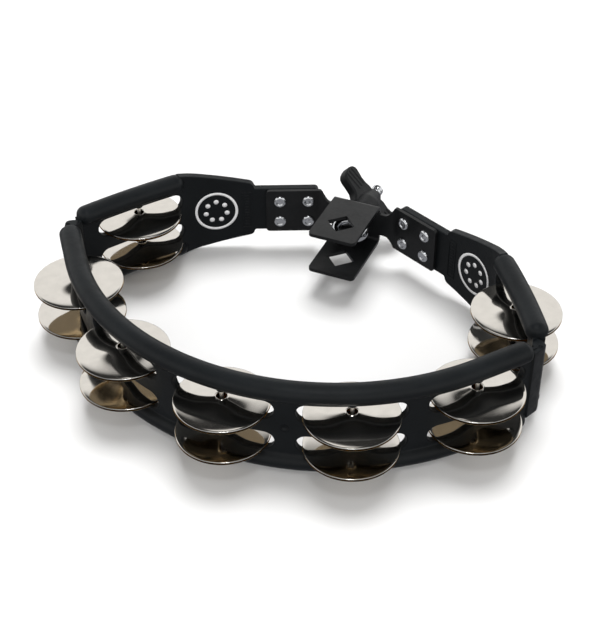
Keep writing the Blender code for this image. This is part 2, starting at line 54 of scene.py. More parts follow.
# ---- the wall and its plan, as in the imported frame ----
GAP = 0.0003                    # kept between touching pieces
FRAME_HEIGHT = 0.061
WALL = 0.0052
WEB_HALF_HEIGHT = 0.024
RAIL_WIDTH = 0.0136
RAIL_HEIGHT = 0.0118
POST_THICKNESS = 0.0076
POST_LENGTH = 0.0085
ARC_RADIUS = 0.1593
ARC_CENTRE_Y = 0.0609
STATION_STEP = math.radians(26.15)
SIDE_RUN = 0.0425
REAR_RUN = 0.0505
CORNER_TURN = math.radians(65.8)
BACK_RUN = 0.0799
BACK_TURN = math.radians(9)
BEND_RUN = 0.012
BEND_TURN = math.radians(18.2)
PADDLE_RUN = 0.0375
PADDLE_TURN = math.radians(10)
TONGUE_RUN = 0.0425
PADDLE_END_HALF_HEIGHT = 0.0197
TONGUE_HALF_HEIGHT = 0.0159
RAIL_END = 0.0075
SHOULDER = 0.003
SIDE_FACE_X = 0.1537
SLOT_LENGTH = 0.061
SLOT_HEIGHT = 0.012
SLOT_Z = 0.0113

ARC_RUN = 2 * STATION_STEP * ARC_RADIUS
CORNER_AT = ARC_RUN + SIDE_RUN
PADDLE_AT = CORNER_AT + BACK_RUN
STEP_AT = PADDLE_AT + BEND_RUN + PADDLE_RUN
TONGUE_END_AT = STEP_AT + TONGUE_RUN
RUNS = (
    (ARC_RUN, 2 * STATION_STEP),
    (SIDE_RUN, 0),
    (0, CORNER_TURN),
    (BACK_RUN, BACK_TURN),
    (BEND_RUN, BEND_TURN),
    (PADDLE_RUN, PADDLE_TURN),
    (TONGUE_RUN, 0),
)
STATION_RUNS = (
    -CORNER_AT - REAR_RUN, -ARC_RUN, -ARC_RUN / 2, 0, ARC_RUN / 2, ARC_RUN, CORNER_AT + REAR_RUN
)

# the plan's own origin in the row frame, read from the front pin
front_pin_low, front_pin_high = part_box("jingle_pin_4")
PLAN_ORIGIN = Vector((
    0,
    (front_pin_low.y + front_pin_high.y) / 2 - (ARC_CENTRE_Y - ARC_RADIUS),
    FRAME_HEIGHT / 2,
))


def walk(distance):
    """Plan place and heading at a distance from the front centre, on the right-hand half."""
    place = Vector((0, ARC_CENTRE_Y - ARC_RADIUS))
    heading = 0.0
    left = distance
    for length, turn in RUNS:
        share = min(left / length, 1) if length else float(left > 0)
        chord = length * share
        half = turn * share / 2
        if half and length:
            chord *= math.sin(half) / half
        place = place + chord * Vector((math.cos(heading + half), math.sin(heading + half)))
        heading += turn * share
        left -= length
        if left <= 0:
            break
    return place, heading


def outward(heading):
    """The side of a plan heading that faces out of the ring."""
    return Vector((math.sin(heading), -math.cos(heading)))


def on_wall(distance, offset, height):
    """Point at a signed walking distance (minus on the left), an offset outwards and a height."""
    place, heading = walk(abs(distance))
    spot = place + offset * outward(heading)
    return Vector((math.copysign(1, distance) * spot.x, spot.y, height))


# ---- mesh helpers ----
ON_AXIS = 1e-7                  # a radius this small is a point on the axis


def circle(radius, count, x=0.0, y=0.0):
    """Evenly spaced points on a circle in a plane."""
    turns = [2 * math.pi * step / count for step in range(count)]
    return [(x + radius * math.cos(turn), y + radius * math.sin(turn)) for turn in turns]


def facing(spot, direction):
    """Placement at a spot whose own +Z points along a level direction and +Y up."""
    up = Vector((0, 0, 1))
    turn = Matrix((up.cross(direction), up, direction)).transposed().to_4x4()
    return Matrix.Translation(spot) @ turn


def new_object(name, bm, material):
    """A smooth-shaded object from a bmesh, placed on the plan's origin."""
    bmesh.ops.recalc_face_normals(bm, faces=bm.faces)
    mesh = bpy.data.meshes.new(name)
    bm.to_mesh(mesh)
    bm.free()
    item = bpy.data.objects.new(name, mesh)
    bpy.context.scene.collection.objects.link(item)
    item.location = PLAN_ORIGIN
    mesh.materials.append(material)
    mesh.shade_smooth()
    return item


def skin(bm, layers, closed):
    """Faces between neighbouring layers of vertices, where a layer may be a single point."""
    pairs = list(zip(layers, layers[1:]))
    if closed:
        pairs.append((layers[-1], layers[0]))
    count = max(len(layer) for layer in layers)
    for near, far in pairs:
        for index in range(count):
            after = (index + 1) % count
            corners = [near[index % len(near)], near[after % len(near)],
                       far[after % len(far)], far[index % len(far)]]
            bm.faces.new(list(dict.fromkeys(corners)))


def add_loft(bm, rings, closed=False):
    """Skin a run of equally long rings, closed on itself or with both ends filled."""
    layers = [[bm.verts.new(point) for point in ring] for ring in rings]
    skin(bm, layers, closed)
    if not closed:
        bm.faces.new(layers[0])
        bm.faces.new(list(reversed(layers[-1])))


def add_turned(bm, profile, segments, place=Matrix.Identity(4), closed=False):
    """Turn (radius, height) points about Z; open profiles start and end on the axis."""
    layers = []
    for radius, height in profile:
        spots = circle(radius, segments) if radius > ON_AXIS else [(0, 0)]
        layers.append([bm.verts.new(place @ Vector((x, y, height))) for x, y in spots])
    skin(bm, layers, closed)


def boolean(target, cutter, operation="DIFFERENCE"):
    """Cut or join with the exact solver, now, and drop the other object."""
    modifier = target.modifiers.new(operation.title(), "BOOLEAN")
    modifier.operation = operation
    modifier.solver = "EXACT"
    modifier.object = cutter
    apply_modifiers(target)
    bpy.data.objects.remove(cutter, do_unlink=True)


def apply_modifiers(item):
    """Keep the evaluated mesh and drop the modifiers."""
    bpy.context.view_layer.update()
    depsgraph = bpy.context.evaluated_depsgraph_get()
    mesh = bpy.data.meshes.new_from_object(item.evaluated_get(depsgraph))
    mesh.name = item.name
    item.modifiers.clear()
    item.data = mesh


def finish_shading(item, angle):
    """Smooth faces up to an angle, with normals that follow the large faces."""
    item.data.shade_smooth()
    item.data.set_sharp_from_angle(angle=math.radians(angle))
    weighted = item.modifiers.new("Weighted normals", "WEIGHTED_NORMAL")
    weighted.keep_sharp = True


def round_edges(item, width, angle, segments):
    """Rounded edges wherever faces meet at more than an angle."""
    bevel = item.modifiers.new("Rounded edges", "BEVEL")
    bevel.width = width
    bevel.segments = segments
    bevel.limit_method = "ANGLE"
    bevel.angle_limit = math.radians(angle)
    bevel.miter_outer = "MITER_ARC"
    apply_modifiers(item)


def attach(item, body, slot, *nodes):
    """Ride on a body and stand for CAD nodes; the slot argument is not used."""
    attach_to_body(item, body)
    if nodes:
        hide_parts(*nodes)


# ---- materials ----
class Nodes:
    """Short hand for a Principled material's node tree, textured in object coordinates."""

    def __init__(self, name, colour, roughness, metallic=0.0):
        self.material = bpy.data.materials.new(name)
        self.material.use_nodes = True
        self.tree = self.material.node_tree
        self.shader = self.tree.nodes["Principled BSDF"]
        self.shader.inputs["Base Color"].default_value = (*colour, 1)
        self.shader.inputs["Roughness"].default_value = roughness
        self.shader.inputs["Metallic"].default_value = metallic
        self.place = self.add("ShaderNodeTexCoord").outputs["Object"]

    def add(self, kind, **values):
        """A node with some of its inputs or properties set."""
        node = self.tree.nodes.new(kind)
        for key, value in values.items():
            if key in node.inputs:
                node.inputs[key].default_value = value
            else:
                setattr(node, key, value)
        return node

    def link(self, output, target):
        """Join two sockets."""
        self.tree.links.new(output, target)

    def noise(self, scale, detail):
        """Fractal noise over the object."""
        node = self.add("ShaderNodeTexNoise", Scale=scale, Detail=detail)
        self.link(self.place, node.inputs["Vector"])
        return node.outputs["Fac"]

    def spread(self, scale, detail, low, high):
        """Noise with its middle part spread over a range of values."""
        node = self.add("ShaderNodeMapRange", **{
            "From Min": 0.35, "From Max": 0.65, "To Min": low, "To Max": high,
        })
        self.link(self.noise(scale, detail), node.inputs["Value"])
        return node.outputs["Result"]

    def tint(self, scale, detail, first, second):
        """Colour that wanders between two."""
        node = self.add("ShaderNodeMix", data_type="RGBA")
        node.inputs[6].default_value = (*first, 1)
        node.inputs[7].default_value = (*second, 1)
        self.link(self.spread(scale, detail, 0, 1), node.inputs["Factor"])
        self.link(node.outputs[2], self.shader.inputs["Base Color"])

    def wear(self, scale, detail, low, high):
        """Roughness that wanders between two values."""
        self.link(self.spread(scale, detail, low, high), self.shader.inputs["Roughness"])

    def bump(self, *layers):
        """Bumps of (height output, depth), laid over each other."""
        normal = None
        for height, depth in layers:
            node = self.add("ShaderNodeBump", Distance=depth)
            self.link(height, node.inputs["Height"])
            if normal:
                self.link(normal, node.inputs["Normal"])
            normal = node.outputs["Normal"]
        self.link(normal, self.shader.inputs["Normal"])


def moulded_plastic(name, colour, roughness, grain):
    """Black plastic with a spark-eroded grain and faint flow marks."""
    made = Nodes(name, colour, roughness)
    made.shader.inputs["Specular IOR Level"].default_value = 0.16
    made.tint(38, 4, colour, tuple(1.35 * value for value in colour))
    made.wear(240, 5, roughness - 0.05, roughness + 0.07)
    made.bump((made.noise(grain, 2), 0.00005), (made.noise(grain / 4, 3), 0.00007))
    return made.material


def powder_coat():
    """Satin black coat on sheet steel, with a fine orange peel."""
    made = Nodes("satin_black_coat", (0.006, 0.0065, 0.007), 0.36)
    made.shader.inputs["Specular IOR Level"].default_value = 0.32
    made.tint(90, 4, (0.005, 0.0055, 0.006), (0.008, 0.0085, 0.009))
    made.wear(420, 4, 0.3, 0.42)
    made.bump((made.noise(900, 2), 0.00004), (made.noise(3200, 2), 0.00001))
    return made.material


def plated_metal(name, colour, roughness, rings=0.0, darker=0.94):
    """Bright plated metal with faint polishing marks, in rings on turned discs."""
    made = Nodes(name, colour, roughness, 1.0)
    made.tint(120, 5, colour, tuple(darker * value for value in colour))
    made.wear(260, 6, roughness * 0.7, roughness * 1.5)
    layers = [(made.noise(1400, 3), 0.000001)]
    if rings:
        wave = made.add("ShaderNodeTexWave", wave_type="RINGS", rings_direction="Z",
                        Scale=rings, Distortion=0.6, Detail=2.0)
        made.link(made.place, wave.inputs["Vector"])
        layers.append((wave.outputs["Fac"], 0.0000012))
    made.bump(*layers)
    return made.material


def print_ink():
    """Off-white pad-printed ink with slightly uneven cover."""
    made = Nodes("pad_print_white", (0.9, 0.9, 0.9), 0.45)
    made.tint(700, 4, (0.93, 0.93, 0.93), (0.84, 0.84, 0.85))
    made.wear(500, 3, 0.38, 0.55)
    made.bump((made.noise(2500, 2), 0.00001))
    return made.material


NICKEL = plated_metal("polished_nickel", (0.76, 0.73, 0.68), 0.06, rings=650)
# Same nickel as the top discs, tinted warm: the tint is a painted golden glow of reflected light
# on the bottom discs' outer faces.
NICKEL_PAINTED_GLOW = plated_metal("nickel_with_painted_gold_glow", (0.78, 0.62, 0.4), 0.16, rings=650)
BRASS = plated_metal("brass_tinted_inside", (0.72, 0.52, 0.25), 0.18, rings=500, darker=0.85)
PLASTIC = moulded_plastic("black_moulding", (0.006, 0.0071, 0.008), 0.38, 2600)
NUT_PLASTIC = moulded_plastic("black_nut_moulding", (0.0065, 0.007, 0.0075), 0.38, 3200)
COAT = powder_coat()
PIN_STEEL = plated_metal("drawn_pin_steel", (0.8, 0.77, 0.72), 0.3)
RIVET_METAL = plated_metal("plated_rivet", (0.78, 0.8, 0.83), 0.17)
CHROME = plated_metal("chrome_plate", (0.74, 0.76, 0.79), 0.1)
ZINC = plated_metal("bright_zinc", (0.72, 0.74, 0.77), 0.22)
INSERT_BRASS = plated_metal("machined_brass", (0.72, 0.55, 0.28), 0.3)
INK = print_ink()


# ---- the moulded frame ----
WALL_HALF = WALL / 2
POST_HALF = POST_THICKNESS / 2
CORNER_ARC = 0.005              # the middle of the wall turns on this radius at a side corner
SECTION_DROP = 0.003            # polar centre of a section's end, below the wall's top
SECTION_ANGLE = math.radians(162)
SECTION_STEPS = 46
WEB_STEPS = 4
SHARPNESS = 14
FILLET = 9
ARC_RINGS = 44
PADDLE_DROP = FRAME_HEIGHT / 2 - PADDLE_END_HALF_HEIGHT
SLOT_EDGE = 0.0007              # radius of the slots' rounded edges
SLOT_CUTTER_REACH = 0.0045      # of the cutters, each side of the wall's middle
PIN_HOLE_RADIUS = 0.00145
PIN_HOLE_ROOF = 0.003
GATE_AT = STATION_STEP * ARC_RADIUS / 2         # between the front station and the next


def section_end(half_height, half_wall, rail):
    """Half outline of a section above its middle, as (outwards, up), from inside to outside.

    A rounded wall top and the rail's oval are blended with a fillet; rail is 0 to 1.
    """
    points = []
    centre_up = (FRAME_HEIGHT - RAIL_HEIGHT) / 2 - half_height + SECTION_DROP
    wide, tall = RAIL_WIDTH / 2 * rail, RAIL_HEIGHT / 2 * rail
    for index in range(SECTION_STEPS + 1):
        angle = SECTION_ANGLE * (2 * index / SECTION_STEPS - 1)
        across, up = math.sin(angle), math.cos(angle)
        side = half_wall / max(abs(across), 1e-6)
        top = SECTION_DROP / up if up > 1e-6 else 1e3
        wall = (side ** -SHARPNESS + top ** -SHARPNESS) ** (-1 / SHARPNESS)
        reach = wall
        if rail > 0.02:
            a = (across / wide) ** 2 + (up / tall) ** 2
            b = -2 * up * centre_up / tall ** 2
            c = (centre_up / tall) ** 2 - 1
            root = b * b - 4 * a * c
            oval = (-b + math.sqrt(root)) / (2 * a) if root > 0 else 0
            if oval > 0:
                reach = (wall ** FILLET + oval ** FILLET) ** (1 / FILLET)
                reach = min(reach, max(wall, oval) + 0.0004)
        points.append((reach * across, half_height - SECTION_DROP + reach * up))
    return points


def full_section(half_height, half_wall, rail):
    """Closed outline of a section, as (outwards, up)."""
    end = section_end(half_height, half_wall, rail)
    low = end[0][1]
    levels = [low * (1 - 2 * step / WEB_STEPS) for step in range(1, WEB_STEPS)]
    outer = [(half_wall, level) for level in levels]
    lower = [(out, -up) for out, up in reversed(end)]
    inner = [(-half_wall, -level) for level in levels]
    return end + outer + lower + inner


def rail_share(distance, first, last):
    """How much of the rail is there: 1 along it, round to 0 at its two ends."""
    radius = RAIL_HEIGHT / 2
    inside = min(distance - first, last - distance)
    if inside <= 0:
        return 0.0
    if inside >= radius:
        return 1.0
    return math.sqrt(1 - (1 - inside / radius) ** 2)


def eased(share):
    """Smooth step from 0 to 1."""
    share = min(max(share, 0), 1)
    return share * share * (3 - 2 * share)


def wall_shape(distance):
    """Half height, half thickness and rail share of the wall at a walking distance."""
    rail = max(
        rail_share(distance, -1, CORNER_AT - RAIL_END),
        rail_share(distance, CORNER_AT + RAIL_END, PADDLE_AT + SHOULDER),
    )
    from_corner = abs(distance - CORNER_AT)
    thick = eased((POST_LENGTH - from_corner) / 0.001)
    half_wall = WALL_HALF + (POST_HALF - WALL_HALF) * thick
    half_height = WEB_HALF_HEIGHT
    rise = distance - PADDLE_AT
    if rise > -SHOULDER:
        share = min(max(rise / (BEND_RUN + PADDLE_RUN), 0), 1)
        crest = FRAME_HEIGHT / 2 - PADDLE_DROP * share
        half_height += (crest - half_height) * eased((rise + SHOULDER) / SHOULDER)
    if distance > STEP_AT - SHOULDER:
        turn = min((distance - STEP_AT + SHOULDER) / SHOULDER, 1)
        half_height -= SHOULDER * (1 - math.sqrt(1 - turn * turn))
    if distance > STEP_AT:
        half_height = TONGUE_HALF_HEIGHT + 0.0009 * (1 - eased((distance - STEP_AT) / 0.001))
    if distance > TONGUE_END_AT - SHOULDER:
        turn = (distance - TONGUE_END_AT + SHOULDER) / SHOULDER
        half_height -= SHOULDER * (1 - math.sqrt(max(1 - turn * turn, 0)))
    return half_height, half_wall, rail


def spread(first, last, steps):
    """Evenly spaced values, without the last."""
    return [first + (last - first) * index / steps for index in range(steps)]


def wall_distances():
    """Walking distances of the right-hand rings, closer together where the shape changes."""
    radius = RAIL_HEIGHT / 2
    cap = [radius * (1 - math.cos(math.radians(angle))) for angle in range(6, 90, 12)]
    front_end = CORNER_AT - RAIL_END
    back_start = CORNER_AT + RAIL_END
    rail_end = PADDLE_AT + SHOULDER
    turn = [SHOULDER * math.sin(math.radians(angle)) for angle in range(0, 90, 15)]
    stops = spread(0, ARC_RUN, ARC_RINGS) + spread(ARC_RUN, front_end - radius, 8)
    stops += [front_end - inside for inside in reversed(cap)]
    stops += spread(CORNER_AT - POST_LENGTH, CORNER_AT - POST_LENGTH + 0.001, 4)
    stops += [CORNER_AT - POST_LENGTH + 0.001, CORNER_AT + POST_LENGTH - 0.001]
    stops += spread(CORNER_AT + POST_LENGTH - 0.00075, CORNER_AT + POST_LENGTH + 0.00025, 4)
    stops += [back_start + inside for inside in cap]
    stops += spread(back_start + radius, PADDLE_AT - SHOULDER, 18)
    stops += spread(PADDLE_AT - SHOULDER, rail_end, 12)
    stops += spread(rail_end, STEP_AT - SHOULDER, 14)
    stops += [STEP_AT - SHOULDER + inside for inside in turn] + [STEP_AT]
    stops += spread(STEP_AT + 0.0002, STEP_AT + 0.001, 4)
    stops += spread(STEP_AT + 0.001, TONGUE_END_AT - SHOULDER, 8)
    stops += [TONGUE_END_AT - SHOULDER + inside for inside in turn] + [TONGUE_END_AT - 0.00002]
    stops = sorted(stops)
    kept = stops[:1]
    for stop in stops[1:]:
        if stop - kept[-1] > 0.00008:
            kept.append(stop)
    return kept


def corner_rings():
    """Place and heading of the rings that round a side corner."""
    corner, heading = walk(CORNER_AT)
    after = walk(CORNER_AT + 0.0001)[1]
    middle = (heading + after) / 2
    half_turn = CORNER_TURN / 2
    centre = corner - CORNER_ARC / math.cos(half_turn) * outward(middle)
    made = []
    for index in range(9):
        angle = heading + CORNER_TURN * index / 8
        made.append((centre + CORNER_ARC * outward(angle), angle))
    return made


def frame_rings():
    """Rings of the right-hand half of the frame."""
    reach = CORNER_ARC * math.tan(CORNER_TURN / 2)
    rings = []
    corner_done = False
    for distance in wall_distances():
        if abs(distance - CORNER_AT) < reach + 0.0002:
            continue
        if distance > CORNER_AT and not corner_done:
            corner_done = True
            for place, heading in corner_rings():
                rings.append((place, heading, full_section(WEB_HALF_HEIGHT, POST_HALF, 0)))
        rings.append((*walk(distance), full_section(*wall_shape(distance))))
    made = []
    for place, heading, shape in rings:
        side = outward(heading)
        made.append([Vector((*(place + out * side), up)) for out, up in shape])
    return made


def flipped(ring):
    """A ring mirrored to the left-hand half."""
    return [Vector((-point.x, point.y, point.z)) for point in ring]


def slot_cutter(bm, distance, height):
    """A round-ended slot through the wall with rounded edges. Adds to the bmesh."""
    radius = SLOT_HEIGHT / 2
    reach = SLOT_LENGTH / 2 - radius
    levels = [(SLOT_CUTTER_REACH, SLOT_EDGE), (WALL_HALF + 0.0002, SLOT_EDGE)]
    for degrees in (15, 35, 60, 90):
        depth = SLOT_EDGE * math.sin(math.radians(degrees))
        levels.append((WALL_HALF - depth, SLOT_EDGE - depth))
    levels = [(-offset, grow) for offset, grow in levels] + list(reversed(levels))
    columns = [(-1, angle) for angle in range(88, 0, -11)]
    columns += [(step / 7, 0) for step in range(-7, 8)]
    columns += [(1, angle) for angle in range(11, 89, 11)]
    grid = []
    for offset, grow in levels:
        pairs = []
        for share, degrees in columns:
            angle = math.radians(degrees)
            along = share * (reach + (radius + grow) * math.sin(angle))
            rise = (radius + grow) * math.cos(angle)
            pairs.append([
                bm.verts.new(on_wall(distance + along, offset, height + level * rise))
                for level in (1, -1)
            ])
        grid.append(pairs)
    last = len(columns) - 1
    for near, far in zip(grid, grid[1:]):
        for index in range(last):
            bm.faces.new((near[index][0], near[index + 1][0], far[index + 1][0], far[index][0]))
            bm.faces.new((near[index][1], far[index][1], far[index + 1][1], near[index + 1][1]))
        for index in (0, last):
            bm.faces.new((near[index][0], near[index][1], far[index][1], far[index][0]))
    for level in (grid[0], grid[-1]):
        for near, far in zip(level, level[1:]):
            bm.faces.new((near[0], far[0], far[1], near[1]))


def tool(name, build):
    """A helper object for a Boolean."""
    bm = bmesh.new()
    build(bm)
    return new_object(name, bm, PLASTIC)


def wall_matrix(distance, offset, height):
    """Placement on the wall whose own +Z points into the ring and +Y up."""
    _, heading = walk(abs(distance))
    spot = on_wall(distance, offset, height)
    side = outward(heading)
    return facing(spot, Vector((-math.copysign(1, distance) * side.x, -side.y, 0)))


def station_points():
    """Walking distance and plan place of the seven stations, back left, round, back right."""
    return [(run, on_wall(run, 0, 0)) for run in STATION_RUNS]


def pin_bosses(bm):
    """Small stubs around the pins, under the upper rail."""
    ceiling = SLOT_Z + SLOT_HEIGHT / 2
    profile = ((0, -0.0011), (0.0017, -0.0011), (0.0021, -0.0009), (0.0027, -0.0003),
               (0.0031, 0.0004), (0.0031, 0.0015), (0, 0.0015))
    for _, place in station_points():
        add_turned(bm, profile, 28, Matrix.Translation((place.x, place.y, ceiling)))


def pin_holes(bm):
    """Blind holes for the pins, open below."""
    bottom = -FRAME_HEIGHT / 2 - 0.002
    top = FRAME_HEIGHT / 2 - PIN_HOLE_ROOF
    profile = ((0, bottom), (PIN_HOLE_RADIUS, bottom), (PIN_HOLE_RADIUS, top), (0, top + 0.0006))
    for _, place in station_points():
        add_turned(bm, profile, 24, Matrix.Translation((place.x, place.y, 0)))


def wall_marks(bm):
    """Shallow gate mark outside the wall, and dimples on the corner posts."""
    gate = wall_matrix(GATE_AT, WALL_HALF, 0)
    pit = ((0, 0.0012), (0.0014, 0.0009), (0.0021, 0.0002), (0.0022, -0.001), (0, -0.001))
    ring = ((0.0024, 0.00018), (0.0027, 0.00018), (0.0028, -0.0006), (0.0023, -0.0006))
    add_turned(bm, pit, 28, gate)
    add_turned(bm, ring, 36, gate, closed=True)
    for side in (-1, 1):
        corner, heading = walk(CORNER_AT)
        spot = corner - 0.0012 * outward(heading + CORNER_TURN / 2)
        for level in (-1, 1):
            place = Matrix.Translation((side * spot.x, spot.y, level * WEB_HALF_HEIGHT))
            ball = [(0.0016 * math.sin(a), 0.0011 * math.cos(a))
                    for a in [math.pi * step / 8 for step in range(9)]]
            add_turned(bm, ball, 20, place)


def panel_bars(bm):
    """A raised border with plain short bars in it, inside each paddle, beside its step."""
    first, last, half = 0.1215, 0.12775, 0.014
    line, rise, sink = 0.0007, 0.00035, 0.0008
    bars = [(first, last, half - line, half), (first, last, -half, line - half)]
    bars += [(first, first + line, line - half + 0.00001, half - line - 0.00001),
             (last - line, last, line - half + 0.00001, half - line - 0.00001)]
    count = 11
    for index in range(count):
        middle = (index - (count - 1) / 2) * 0.0022
        bars.append((first + 0.0016, last - 0.0016, middle - 0.00045, middle + 0.00045))
    for side in (-1, 1):
        for start, end, low, high in bars:
            rings = []
            for step in range(3):
                run = side * (CORNER_AT + start + (end - start) * step / 2)
                rings.append([
                    on_wall(run, offset, height)
                    for offset, height in (
                        (sink - WALL_HALF, low), (sink - WALL_HALF, high),
                        (-WALL_HALF - rise * 0.5, high), (-WALL_HALF - rise, high - 0.00015),
                        (-WALL_HALF - rise, low + 0.00015), (-WALL_HALF - rise * 0.5, low),
                    )
                ])
            add_loft(bm, rings)


def rivet_line():
    """Start and heading of the right-hand tongue's inner face, walking inwards."""
    place, heading = walk(STEP_AT + 0.0006)
    return place - (WALL_HALF + GAP) * outward(heading), heading


def on_flange(x, depth=0.0):
    """Point at a given x on the right-hand tongue's inner face, moved inwards by a depth."""
    start, heading = rivet_line()
    along = Vector((math.cos(heading), math.sin(heading)))
    foot = start - depth * outward(heading)
    return foot + (x - foot.x) / along.x * along


RIVET_X = (0.0333, 0.0503)
RIVET_SPACING_Z = 0.0154
RIVET_HEAD_RADIUS = 0.0041


def rivet_matrices(depth=0.0):
    """Placements of the eight rivets, in the record's order, whose own +Z points into the ring."""
    _, heading = rivet_line()
    made = []
    for side in (-1, 1):
        for x in RIVET_X:
            foot = on_flange(x, depth)
            inward = -outward(heading)
            for level in (-1, 1):
                spot = Vector((side * foot.x, foot.y, level * RIVET_SPACING_Z / 2))
                made.append(facing(spot, Vector((side * inward.x, inward.y, 0))))
    return made


def rivet_holes(bm):
    """Holes for the rivets' shanks."""
    for place in rivet_matrices():
        profile = ((0, -0.012), (0.0024, -0.012), (0.0024, 0.006), (0, 0.006))
        add_turned(bm, profile, 20, place)


def make_frame():
    """The one-piece moulding."""
    right = frame_rings()
    bm = bmesh.new()
    add_loft(bm, [flipped(ring) for ring in reversed(right)] + right[1:])
    body = new_object("frame_moulding", bm, PLASTIC)
    trim_y = walk(CORNER_AT)[0].y

    def trims(bm):
        for side in (-1, 1):
            block = bmesh.ops.create_cube(bm, size=1)["verts"]
            bmesh.ops.scale(bm, vec=(0.01, 0.03, 0.08), verts=block)
            bmesh.ops.translate(bm, vec=(side * (SIDE_FACE_X + 0.005), trim_y, 0), verts=block)

    def slots(bm):
        for run in STATION_RUNS:
            for side in (1, -1):
                slot_cutter(bm, run, side * SLOT_Z)

    boolean(body, tool("corner_trims", trims))
    boolean(body, tool("slots", slots))
    boolean(body, tool("pin_bosses", pin_bosses), "UNION")
    boolean(body, tool("panel_bars", panel_bars), "UNION")
    boolean(body, tool("pin_holes", pin_holes))
    boolean(body, tool("rivet_holes", rivet_holes))
    boolean(body, tool("wall_marks", wall_marks))
    body.data.materials.clear()
    body.data.materials.append(PLASTIC)
    finish_shading(body, 38)
    attach(body, ROOT, "frame_plastic", "frame")


def make_badges():
    """A white ring round seven dots, printed inside each paddle in place of a mark."""
    middle, radius, line = CORNER_AT + 0.104, 0.0136, 0.0009
    dots, dot_radius, dot_circle = 7, 0.0017, 0.0072
    low, high = -WALL_HALF - 0.00002, -WALL_HALF - 0.00009
    for side, name in ((-1, "left"), (1, "right")):
        bm = bmesh.new()

        def spot(along, height, offset):
            return on_wall(side * (middle + along), offset, height)

        border = ((high, radius - line), (high, radius + line),
                  (low, radius + line), (low, radius - line))
        add_loft(bm, [
            [spot(x, y, offset) for x, y in circle(reach, 96)] for offset, reach in border
        ], closed=True)
        for number in range(dots):
            turn = 2 * math.pi * number / dots + math.pi / 2
            across, up = dot_circle * math.cos(turn), dot_circle * math.sin(turn)
            add_loft(bm, [
                [spot(x, y, offset) for x, y in circle(dot_radius, 28, across, up)]
                for offset in (high, low)
            ])
        badge = new_object(f"print_{name}", bm, INK)
        attach(badge, ROOT, "frame_plastic")


# ---- jingles and pins ----
JINGLE_SEGMENTS = 96
JINGLE_PLATE = 0.00045          # thickness of the sheet
DISC_SLOPES = (                 # slope in degrees up to each radius: cone, flat, rolled edge
    (0.006, 8.6), (0.0095, 9), (0.0105, 8.6), (0.0115, 7.9), (0.0125, 6.9), (0.0135, 5.9),
    (0.0145, 4.9), (0.0155, 4), (0.0165, 3.2), (0.018, 2.6), (0.0205, 2.2), (0.0225, 2.2),
    (0.024, 2.6), (0.0251, 3.6), (0.0259, 5), (0.0265, 9),
)


def jingle_mesh(name, outside, inside):
    """A dished disc with a rolled hub and rim, open side down."""
    lip = [
        (0.0031, 0.0023), (0.00316, 0.0026), (0.00334, 0.00276), (0.00355, 0.0028),
        (0.00375, 0.00275), (0.0039, 0.0026), (0.0041, 0.0025),
    ]
    reach, height = 0.0043, 0.00246
    plate = [(reach, height)]
    for stop, degrees in DISC_SLOPES:
        height -= (stop - reach) * math.tan(math.radians(degrees))
        reach = stop
        plate.append((reach, height))
    rim = [(0.0268, height - 0.0001), (0.02695, height - 0.00022), (0.027, height - 0.00034),
           (0.02695, 0.00008), (0.0268, 0)]
    under = [(out - 0.0001, max(up - JINGLE_PLATE, 0)) for out, up in reversed(plate)]
    neck = [(0.0036, under[-1][1] + 0.00006), (0.00322, 0.002), (0.00312, 0.00215)]
    bm = bmesh.new()
    add_turned(bm, lip + plate + rim + under + neck, JINGLE_SEGMENTS, closed=True)
    bmesh.ops.recalc_face_normals(bm, faces=bm.faces)
    for face in bm.faces:
        face.smooth = True
        reach = face.calc_center_median().xy.length
        below = face.normal.z < -0.3 and reach > 0.0033
        face.material_index = 1 if below else 0
    mesh = bpy.data.meshes.new(name)
    bm.to_mesh(mesh)
    bm.free()
    mesh.materials.append(outside)
    mesh.materials.append(inside)
    return mesh


def make_jingles():
    """A facing pair of discs in each slot, each on its own body."""
    plates = {
        "top": jingle_mesh("jingle_top_plate", NICKEL, BRASS),
        # the bottom discs' outer faces carry the painted golden reflection glow
        "bottom": jingle_mesh("jingle_bottom_plate", NICKEL_PAINTED_GLOW, BRASS),
    }
    for number, (_, place) in enumerate(station_points(), 1):
        for level in ("upper", "lower"):
            for half in ("top", "bottom"):
                node = f"jingle_{number}_{level}_{half}"
                low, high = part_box(node)
                plate = bpy.data.objects.new(node + "_plate", plates[half])
                bpy.context.scene.collection.objects.link(plate)
                plate.location = (
                    place.x, PLAN_ORIGIN.y + place.y, low.z if half == "top" else high.z
                )
                if half == "bottom":
                    plate.rotation_euler.x = math.pi
                plate.rotation_euler.z = math.pi / 2 * (number + (level == "upper"))
                attach(plate, node + "_disc", "jingle_nickel", node)


def make_pins():
    """Seven steel pins with chamfered ends."""
    for number in range(1, 8):
        node = f"jingle_pin_{number}"
        low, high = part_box(node)
        radius, chamfer = (high.x - low.x) / 2, 0.0003
        bottom, top = low.z - PLAN_ORIGIN.z, high.z - PLAN_ORIGIN.z
        profile = ((0, bottom), (radius - chamfer, bottom), (radius, bottom + chamfer),
                   (radius, top - chamfer), (radius - chamfer, top), (0, top))
        bm = bmesh.new()
        add_turned(bm, profile, 32)
        pin = new_object(node + "_rod", bm, PIN_STEEL)
        middle = (low + high) / 2
        pin.location = (middle.x, middle.y, PLAN_ORIGIN.z)
        finish_shading(pin, 30)
        attach(pin, ROOT, "pin_steel", node)


